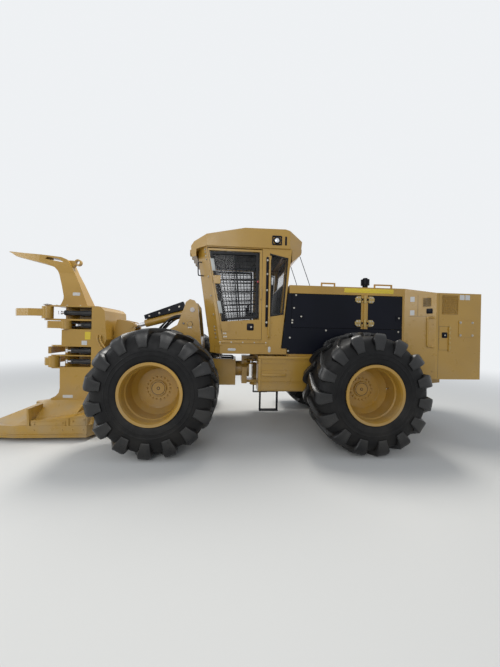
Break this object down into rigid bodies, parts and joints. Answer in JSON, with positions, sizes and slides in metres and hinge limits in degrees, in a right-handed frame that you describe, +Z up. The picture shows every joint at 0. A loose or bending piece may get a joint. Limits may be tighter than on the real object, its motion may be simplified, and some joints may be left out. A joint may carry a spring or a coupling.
{
  "type": "wheeled feller buncher",
  "caption": "Four-wheel articulated feller buncher with enclosed cab, rear engine, lifting boom and a disc-saw felling head with gathering arms.",
  "frame": {"origin": "middle of the bounding box, on the ground", "axes": "+X forward to the felling head, +Y left, +Z up"},
  "size_m": [8.5485, 3.2, 3.6051],
  "materials": {
    "machine_yellow": "gloss",
    "rim_yellow": "gloss",
    "panel_black": "satin",
    "chassis_dark": "satin",
    "worn_steel": "satin",
    "rod_chrome": "polished",
    "tyre_rubber": "matte",
    "window_glass": "gloss",
    "seat_fabric": "matte",
    "engine_grey": "satin"
  },
  "bodies": {
    "chassis": {"rear_frame": "machine_yellow", "rear_axle": "chassis_dark", "belly_tanks": "machine_yellow", "boarding_steps": "panel_black", "cab_shell": "machine_yellow", "cab_roof": "machine_yellow", "cab_glass": "window_glass", "operator_seat": "seat_fabric", "control_console": "panel_black", "engine_enclosure": "machine_yellow", "engine_side_panels": "panel_black", "hood_fittings": "machine_yellow", "intake_stack": "panel_black", "engine_block": "engine_grey", "cooler_core": "panel_black", "tail_box": "machine_yellow"},
    "cab_door": {"cab_door": "machine_yellow", "cab_door_glass": "window_glass"},
    "door_front_left": {"service_door_front_left": "panel_black"},
    "door_rear_left": {"service_door_rear_left": "panel_black"},
    "door_front_right": {"service_door_front_right": "panel_black"},
    "door_rear_right": {"service_door_rear_right": "panel_black"},
    "tail_door": {"tail_door": "machine_yellow"},
    "cooler_fan": {"cooler_fan": "panel_black"},
    "wheel_rear_left": {"rim_rear_left": "rim_yellow", "tyre_rear_left": "tyre_rubber"},
    "wheel_rear_right": {"rim_rear_right": "rim_yellow", "tyre_rear_right": "tyre_rubber"},
    "wheel_front_left": {"rim_front_left": "rim_yellow", "tyre_front_left": "tyre_rubber"},
    "wheel_front_right": {"rim_front_right": "rim_yellow", "tyre_front_right": "tyre_rubber"},
    "steering_barrel_left": {"steering_barrel_left": "machine_yellow"},
    "steering_barrel_right": {"steering_barrel_right": "machine_yellow"},
    "steering_rod_left": {"steering_rod_left": "rod_chrome"},
    "steering_rod_right": {"steering_rod_right": "rod_chrome"},
    "centre_yoke": {"centre_yoke": "machine_yellow"},
    "front_half": {"front_frame": "machine_yellow", "front_axle": "chassis_dark"},
    "boom": {"boom": "machine_yellow"},
    "lift_barrels": {"lift_barrels": "machine_yellow"},
    "lift_rods": {"lift_rods": "rod_chrome"},
    "tilt_shaft": {"tilt_shaft": "worn_steel"},
    "tilt_barrel": {"tilt_barrel": "machine_yellow", "hose_guard": "panel_black"},
    "tilt_rod": {"tilt_rod": "rod_chrome"},
    "wrist_pin": {"wrist_pin": "worn_steel"},
    "felling_head": {"head_frame": "machine_yellow", "head_horn": "machine_yellow", "saw_housing": "machine_yellow"},
    "saw_disc": {"saw_disc": "worn_steel"},
    "upper_arm_left": {"upper_arm_left": "machine_yellow"},
    "holding_arm_left": {"holding_arm_left": "machine_yellow"},
    "lower_arm_right": {"lower_arm_right": "machine_yellow"},
    "lower_arm_left": {"lower_arm_left": "machine_yellow"}
  },
  "joints": [
    {"name": "articulation", "type": "hinge", "parent": "chassis", "child": "centre_yoke", "pos_m": [-0.4477, 0, 1.08], "axis": [0, 0, 1], "range_deg": [-40, 40]},
    {"name": "oscillation", "type": "hinge", "parent": "centre_yoke", "child": "front_half", "pos_m": [-0.1978, 0, 1.08], "axis": [1, 0, 0], "range_deg": [-12, 12]},
    {"name": "rear_wheel_spin_left", "type": "hinge", "parent": "chassis", "child": "wheel_rear_left", "pos_m": [-2.0478, 1.212, 0.92], "axis": [0, 1, 0], "continuous": true},
    {"name": "front_wheel_spin_left", "type": "hinge", "parent": "front_half", "child": "wheel_front_left", "pos_m": [1.1522, 1.212, 0.92], "axis": [0, 1, 0], "continuous": true},
    {"name": "steering_barrel_swing_left", "type": "hinge", "parent": "chassis", "child": "steering_barrel_left", "pos_m": [-1.0477, 0.345, 1.235], "axis": [0, 0, 1], "range_deg": [-5, 5]},
    {"name": "steering_rod_slide_left", "type": "slide", "parent": "steering_barrel_left", "child": "steering_rod_left", "axis": [0.9747, -0.2234, 0], "range_m": [-0.134, 0.134]},
    {"name": "front_service_door_left", "type": "hinge", "parent": "chassis", "child": "door_front_left", "pos_m": [-2.2428, 0.7635, 2.2], "axis": [0, 0, 1], "range_deg": [0, 90]},
    {"name": "rear_service_door_left", "type": "hinge", "parent": "chassis", "child": "door_rear_left", "pos_m": [-2.3428, 0.7635, 2.2], "axis": [0, 0, -1], "range_deg": [0, 90]},
    {"name": "rear_wheel_spin_right", "type": "hinge", "parent": "chassis", "child": "wheel_rear_right", "pos_m": [-2.0478, -1.212, 0.92], "axis": [0, 1, 0], "continuous": true},
    {"name": "front_wheel_spin_right", "type": "hinge", "parent": "front_half", "child": "wheel_front_right", "pos_m": [1.1522, -1.212, 0.92], "axis": [0, 1, 0], "continuous": true},
    {"name": "steering_barrel_swing_right", "type": "hinge", "parent": "chassis", "child": "steering_barrel_right", "pos_m": [-1.0477, -0.345, 1.235], "axis": [0, 0, 1], "range_deg": [-5, 5]},
    {"name": "steering_rod_slide_right", "type": "slide", "parent": "steering_barrel_right", "child": "steering_rod_right", "axis": [0.9747, 0.2234, 0], "range_m": [-0.134, 0.134]},
    {"name": "front_service_door_right", "type": "hinge", "parent": "chassis", "child": "door_front_right", "pos_m": [-2.2428, -0.7635, 2.2], "axis": [0, 0, -1], "range_deg": [0, 90]},
    {"name": "rear_service_door_right", "type": "hinge", "parent": "chassis", "child": "door_rear_right", "pos_m": [-2.3428, -0.7635, 2.2], "axis": [0, 0, 1], "range_deg": [0, 90]},
    {"name": "cab_door_hinge", "type": "hinge", "parent": "chassis", "child": "cab_door", "pos_m": [0.2122, 0.7335, 1.675], "axis": [0.1858, 0, 0.9826], "range_deg": [-80, 0]},
    {"name": "tail_door_hinge", "type": "hinge", "parent": "chassis", "child": "tail_door", "pos_m": [-4.2613, -0.868, 1.865], "axis": [0, 0, 1], "range_deg": [0, 100]},
    {"name": "fan_spin", "type": "hinge", "parent": "chassis", "child": "cooler_fan", "pos_m": [-3.0078, 0, 1.96], "axis": [1, 0, 0], "continuous": true},
    {"name": "boom_lift", "type": "hinge", "parent": "front_half", "child": "boom", "pos_m": [0.8423, 0, 1.935], "axis": [0, -1, 0], "range_deg": [0, 32]},
    {"name": "lift_barrel_swing", "type": "hinge", "parent": "front_half", "child": "lift_barrels", "pos_m": [0.7322, 0, 1.15], "axis": [0, -1, 0], "range_deg": [0, 17.5]},
    {"name": "lift_rod_slide", "type": "slide", "parent": "lift_barrels", "child": "lift_rods", "axis": [0.9447, 0, 0.328], "range_m": [0, 0.37]},
    {"name": "tilt_shaft_turn", "type": "hinge", "parent": "front_half", "child": "tilt_shaft", "pos_m": [0.8023, 0, 2.205], "axis": [0, -1, 0], "range_deg": [0, 34]},
    {"name": "tilt_barrel_swing", "type": "hinge", "parent": "tilt_shaft", "child": "tilt_barrel", "pos_m": [0.8023, 0, 2.205], "axis": [0, -1, 0], "range_deg": [-4, 4]},
    {"name": "tilt_rod_slide", "type": "slide", "parent": "tilt_barrel", "child": "tilt_rod", "axis": [0.9623, 0, -0.272], "range_m": [-0.14, 0.17]},
    {"name": "wrist_level", "type": "hinge", "parent": "boom", "child": "wrist_pin", "pos_m": [2.0522, 0, 1.05], "axis": [0, -1, 0], "range_deg": [-11, 0]},
    {"name": "head_tilt", "type": "hinge", "parent": "wrist_pin", "child": "felling_head", "pos_m": [2.0522, 0, 1.05], "axis": [0, -1, 0], "range_deg": [-12, 10]},
    {"name": "saw_spin", "type": "hinge", "parent": "felling_head", "child": "saw_disc", "pos_m": [3.2923, 0, 0.144], "axis": [0, 0, 1], "continuous": true},
    {"name": "upper_arm_left_swing", "type": "hinge", "parent": "felling_head", "child": "upper_arm_left", "pos_m": [3.2872, 0.42, 2.081], "axis": [0, 0, -1], "range_deg": [0, 75]},
    {"name": "holding_arm_left_swing", "type": "hinge", "parent": "felling_head", "child": "holding_arm_left", "pos_m": [2.9672, 0.42, 1.87], "axis": [0, 0, 1], "range_deg": [0, 70]},
    {"name": "lower_arm_right_swing", "type": "hinge", "parent": "felling_head", "child": "lower_arm_right", "pos_m": [3.1643, -0.42, 1.414], "axis": [0, 0, -1], "range_deg": [0, 70]},
    {"name": "lower_arm_left_swing", "type": "hinge", "parent": "felling_head", "child": "lower_arm_left", "pos_m": [3.1643, 0.42, 1.225], "axis": [0, 0, 1], "range_deg": [0, 70]}
  ],
  "couplings": [
    {"joint": "lift_barrel_swing", "follows": "boom_lift", "ratio": 0.52},
    {"joint": "lift_rod_slide", "follows": "boom_lift", "m_per_rad": 0.655},
    {"joint": "tilt_shaft_turn", "follows": "boom_lift", "ratio": 1.035},
    {"joint": "wrist_level", "follows": "boom_lift", "ratio": -0.333},
    {"joint": "tilt_barrel_swing", "follows": "head_tilt", "ratio": -0.26},
    {"joint": "tilt_rod_slide", "follows": "head_tilt", "m_per_rad": -0.775},
    {"joint": "steering_barrel_swing_left", "follows": "articulation", "ratio": 0.1},
    {"joint": "steering_barrel_swing_right", "follows": "articulation", "ratio": 0.1},
    {"joint": "steering_rod_slide_left", "follows": "articulation", "m_per_rad": -0.19},
    {"joint": "steering_rod_slide_right", "follows": "articulation", "m_per_rad": 0.19}
  ]
}
